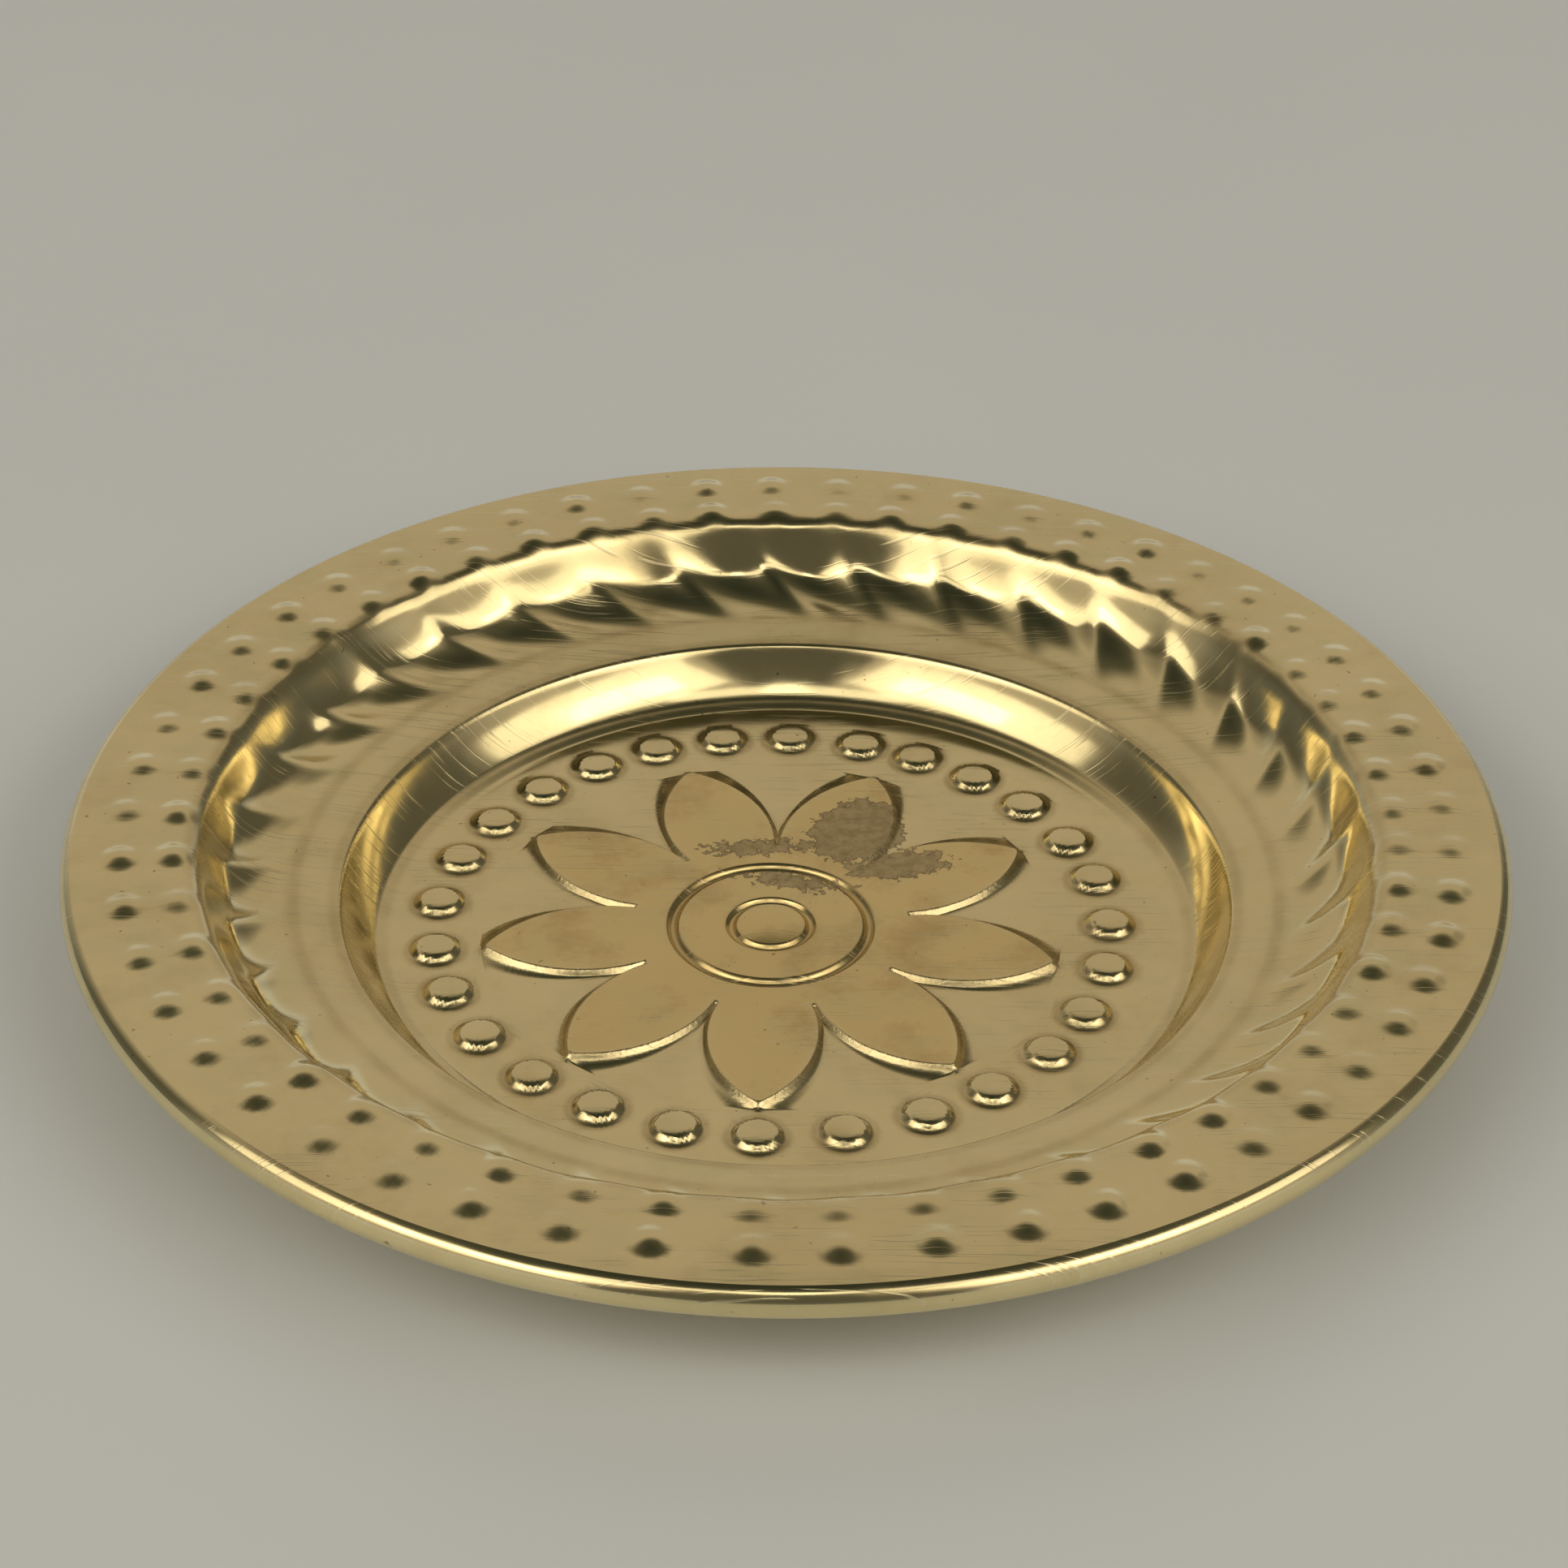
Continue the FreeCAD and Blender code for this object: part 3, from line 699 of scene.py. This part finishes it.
def add_scratches(n, place, cloud):
    """Hairline scratches in three directions, thicker in some places than in others."""
    scratches = None
    for lean, shift in SCRATCH_DIRECTIONS:
        mapping = {"Vector": place, "Location": (shift, shift, 0.0)}
        mapping |= {"Rotation": (0.0, 0.0, math.radians(lean)), "Scale": SCRATCH_STRETCH}
        stretched = n.add("ShaderNodeMapping", mapping).outputs[0]
        lines = n.remap(n.noise(stretched, 1.0, 2.0, 0.6), 0.64, 0.70)
        scratches = lines if scratches is None else n.math("MAXIMUM", scratches, lines)
    return n.math("MULTIPLY", scratches, n.remap(cloud, 0.38, 0.58))


def add_metal(n, base, rough, bump):
    """The metal shader and the output, from colour, roughness and bump."""
    inputs = {"Base Color": base, "Metallic": 1.0, "Roughness": rough, "Normal": bump}
    shader = n.add("ShaderNodeBsdfPrincipled", inputs)
    n.add("ShaderNodeOutputMaterial", {"Surface": shader.outputs[0]})


def brass_material():
    """Handled brass: clouds of tone, tarnish, specks, scratches, the dried stain, and painted
    shade in the recesses.
    """
    material, n = new_material("polished_brass")
    place = n.add("ShaderNodeTexCoord").outputs["Object"]
    flower_mask = n.attribute("flower")
    edge_mask = n.attribute("edge")

    stain_edge = n.noise(place, 900.0, 4.0, 0.65)
    ragged = n.remap(stain_edge, 0.25, 0.75, -1.1, 1.1)
    stain_depth = n.math("ADD", n.attribute("stain"), ragged)
    stain = n.remap(stain_depth, 0.0, 0.14)
    stain_rim = n.math("MULTIPLY", stain, n.remap(stain_depth, 0.5, 0.14))
    recess = n.attribute("recess")

    cloud = n.noise(place, 55.0, 3.0, 0.55)
    blotch = n.noise(place, 210.0, 4.0, 0.6)
    base = n.mix(flower_mask, FLOOR_TONE, PETAL_TONE)
    base = n.mix(n.remap(cloud, 0.35, 0.75, 0.0, 0.22), base, CLOUD_TONE)
    base = n.mix(n.remap(blotch, 0.46, 0.72, 0.0, 0.38), base, GREEN_TONE)
    # Painted shade: the brass is darkened, in mottled patches, round the studs, in the rings
    # and in the corners.
    recess_shade = n.math("MULTIPLY", recess, n.remap(blotch, 0.3, 0.7, 0.15, 0.6))
    base = n.mix(recess_shade, base, RECESS_SHADE_TONE)
    tarnish = n.noise(place, 120.0, 5.0, 0.68)
    tarnish_here = n.math("ADD", n.math("MULTIPLY", flower_mask, 0.34), 0.16)
    tarnish_share = n.math("MULTIPLY", n.remap(tarnish, 0.50, 0.70), tarnish_here)
    base = n.mix(tarnish_share, base, TARNISH_TONE)
    speck = n.remap(n.noise(place, 1500.0, 1.0, 0.4), 0.77, 0.82)
    base = n.mix(n.math("MULTIPLY", speck, 0.6), base, SPECK_TONE)
    base = n.mix(n.math("MULTIPLY", edge_mask, 0.25), base, WORN_TONE)
    scratches = add_scratches(n, place, cloud)
    base = n.mix(n.math("MULTIPLY", scratches, 0.3), base, SCRATCH_TONE)
    stain_tone = n.mix(n.remap(stain_edge, 0.40, 0.62), *STAIN_TONES)
    base = n.mix(n.math("MULTIPLY", stain, 0.8), base, stain_tone)
    base = n.mix(n.math("MULTIPLY", stain_rim, 0.5), base, STAIN_RIM_TONE)

    rough = n.remap(cloud, 0.3, 0.8, 0.10, 0.19)
    rough = n.math("ADD", rough, n.remap(tarnish, 0.48, 0.72, 0.0, 0.07))
    rough = n.math("ADD", rough, n.math("MULTIPLY", edge_mask, 0.10))
    rough = n.math("ADD", rough, n.math("MULTIPLY", scratches, 0.16))
    dull = n.math("MAXIMUM", stain, n.math("MULTIPLY", recess, 0.5))
    rough = n.math("ADD", rough, n.remap(dull, 0.0, 1.0, 0.0, 0.28))

    grain = n.noise(place, 2600.0, 2.0, 0.6)
    relief = n.math("MULTIPLY", grain, n.math("MAXIMUM", edge_mask, stain))
    bump = n.bump(relief, 0.75, 0.00007)
    bump = n.bump(scratches, 0.25, 0.00003, bump)
    bump = n.bump(n.noise(place, 160.0, 2.0, 0.5), 0.16, 0.0002, bump)
    add_metal(n, base, rough, bump)
    return material


def wire_material():
    """Drawn steel wire, a little rusted."""
    material, n = new_material("drawn_steel_wire")
    place = n.add("ShaderNodeTexCoord").outputs["Object"]
    cloud = n.noise(place, 90.0, 4.0, 0.6)
    fine = n.noise(place, 1800.0, 3.0, 0.6)
    base = n.mix(n.remap(cloud, 0.4, 0.7), (0.50, 0.51, 0.53), (0.30, 0.24, 0.20))
    rough = n.remap(fine, 0.3, 0.7, 0.32, 0.55)
    add_metal(n, base, rough, n.bump(fine, 0.4, 0.00005))
    return material


def floor_material():
    """A pale matt floor with a faint variation."""
    material, n = new_material("pale_floor")
    place = n.add("ShaderNodeTexCoord").outputs["Object"]
    cloud = n.noise(place, 14.0, 3.0, 0.5)
    base = n.mix(n.remap(cloud, 0.3, 0.7), (0.80, 0.84, 0.87), (0.82, 0.86, 0.89))
    shader = n.add("ShaderNodeBsdfPrincipled", {"Base Color": base, "Roughness": 0.45})
    n.add("ShaderNodeOutputMaterial", {"Surface": shader.outputs[0]})
    return material


# ------------------------------------------------------------------ the object

dish = make_dish()
dish.data.materials.append(brass_material())
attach(dish, "root")
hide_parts("pressed_dish")

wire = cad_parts["rim_wire"]
wire.data.materials.clear()
wire.data.materials.append(wire_material())

# ------------------------------------------------------------------ stage, light, camera

FLOOR_HALF = 3.0  # metres
FLOOR_DROP = 0.00005  # metres: keeps the floor clear of the plate's rest face

floor_mesh = bpy.data.meshes.new("floor")
corners = [(-1, -1), (1, -1), (1, 1), (-1, 1)]
floor_points = [(FLOOR_HALF * a, FLOOR_HALF * b, 0.0) for a, b in corners]
floor_mesh.from_pydata(floor_points, [], [(0, 1, 2, 3)])
floor = bpy.data.objects.new("floor", floor_mesh)
floor.location.z = -FLOOR_DROP
bpy.context.scene.collection.objects.link(floor)
floor_mesh.materials.append(floor_material())


# The room's brightness from straight below the horizon to overhead, as stops over the
# sine of elevation, which runs from ROOM_LOW to ROOM_HIGH.
ROOM_LOW, ROOM_HIGH = -0.2, 1.0
ROOM_STOPS = [
    (0.0, (0.34, 0.34, 0.32)),
    (0.24, (0.57, 0.57, 0.56)),
    (0.30, (0.55, 0.545, 0.52)),
    (0.40, (0.47, 0.42, 0.345)),
    (0.77, (0.47, 0.415, 0.335)),
    (0.89, (0.085, 0.085, 0.062)),
    (1.0, (0.03, 0.036, 0.028)),
]
DARK_TONE = (0.034, 0.040, 0.031)
DARK_SHARE = 0.85


def studio_world():
    """A plain room: pale low down, warm higher up and dark overhead. The wall on the
    photographer's side has a dark gap that narrows upwards, and the room is dark at the
    sides, more so on the right."""
    world = bpy.data.worlds.new("studio")
    world.use_nodes = True
    n = Nodes(world.node_tree)
    direction = n.add("ShaderNodeTexCoord").outputs["Generated"]
    axes = n.add("ShaderNodeSeparateXYZ", {0: direction}).outputs
    ramp = n.add("ShaderNodeValToRGB", {"Fac": n.remap(axes["Z"], ROOM_LOW, ROOM_HIGH)})
    elements = ramp.color_ramp.elements
    while len(elements) < len(ROOM_STOPS):
        elements.new(0.5)
    for element, (position, colour) in zip(elements, ROOM_STOPS):
        element.position = position
        element.color = (*colour, 1.0)
    front = n.math("MULTIPLY", axes["Y"], -1.0)
    sideways = n.math("ABSOLUTE", axes["X"])
    gap_half = n.remap(axes["Z"], 0.25, 0.85, 0.44, 0.10)
    gap = n.math("LESS_THAN", sideways, gap_half)
    gap = n.math("MULTIPLY", gap, n.remap(front, 0.1, 0.3))
    lopsided = n.math("MAXIMUM", n.math("MULTIPLY", axes["X"], 1.35), sideways)
    flank = n.math("MULTIPLY", n.remap(lopsided, 0.55, 0.85), n.remap(front, 0.25, -0.1))
    dark = n.math("MULTIPLY", n.math("MAXIMUM", gap, flank), DARK_SHARE)
    colour = n.mix(dark, ramp.outputs["Color"], DARK_TONE)
    background = n.add("ShaderNodeBackground", {"Color": colour, "Strength": 1.0})
    n.add("ShaderNodeOutputWorld", {"Surface": background.outputs[0]})
    bpy.context.scene.world = world


# Lights, one on each side: name, azimuth from the front and elevation in degrees, then
# distance, width and height in metres, power in watts, and colour.
WINDOW_LIGHT, CORE_LIGHT = (1.0, 0.945, 0.81), (1.0, 0.96, 0.86)
LIGHTS = [
    ("window", 58, 38, 1.6, 1.7, 0.85, 4.9, WINDOW_LIGHT),
    ("window_core", 50, 40, 1.55, 0.75, 0.36, 1.0, CORE_LIGHT),
    ("skylight", 17, 56, 1.6, 0.80, 0.30, 0.8, WINDOW_LIGHT),
]


def soft_light(name, azimuth, elevation, distance, width, tall, power, colour):
    """A rectangular light that faces the plate. Azimuth 0 is the photo's side."""
    a, e = math.radians(azimuth), math.radians(elevation)
    toward = Vector((math.sin(a) * math.cos(e), -math.cos(a) * math.cos(e), math.sin(e)))
    spot = toward * distance
    data = bpy.data.lights.new(name, "AREA")
    data.shape = "RECTANGLE"
    data.size, data.size_y = width, tall
    data.energy = power
    data.color = colour
    light = bpy.data.objects.new(name, data)
    light.location = spot
    light.rotation_euler = (-spot).to_track_quat("-Z", "Y").to_euler()
    bpy.context.scene.collection.objects.link(light)


studio_world()
for side in (-1, 1):
    for name, azimuth, *rest in LIGHTS:
        soft_light(f"{name}_{side + 1}", azimuth * side, *rest)
bpy.context.scene.view_settings.view_transform = "Standard"

# The camera, in mm, as it stood for the photo.
CAMERA_ELEVATION = math.radians(34.644)
CAMERA_DISTANCE = 5.6427 * PLATE_R
AIM_HEIGHT = 10.8
CAMERA_AIM = Vector((-0.0039 * PLATE_R, 0.1148 * PLATE_R, AIM_HEIGHT))
CAMERA_ROLL = math.radians(0.416)
LENS_MM, SENSOR_MM = 93.17, 36.0


def aim_camera():
    """The camera at the photo's angle, aimed a little past the plate's middle."""
    away = CAMERA_DISTANCE * math.cos(CAMERA_ELEVATION)
    rise = CAMERA_DISTANCE * math.sin(CAMERA_ELEVATION)
    spot = Vector((0, -away, rise + AIM_HEIGHT))
    forward = (CAMERA_AIM - spot).normalized()
    right = forward.cross(Vector((0, 0, 1))).normalized()
    up = right.cross(forward)
    c, s = math.cos(CAMERA_ROLL), math.sin(CAMERA_ROLL)
    right, up = c * right + s * up, c * up - s * right
    data = bpy.data.cameras.new("camera")
    data.lens, data.sensor_width = LENS_MM, SENSOR_MM
    data.clip_start, data.clip_end = 0.01, 20.0
    camera = bpy.data.objects.new("camera", data)
    turn = Matrix((right, up, -forward)).transposed().to_4x4()
    camera.matrix_world = Matrix.Translation(spot * MM) @ turn
    bpy.context.scene.collection.objects.link(camera)
    bpy.context.scene.camera = camera


aim_camera()
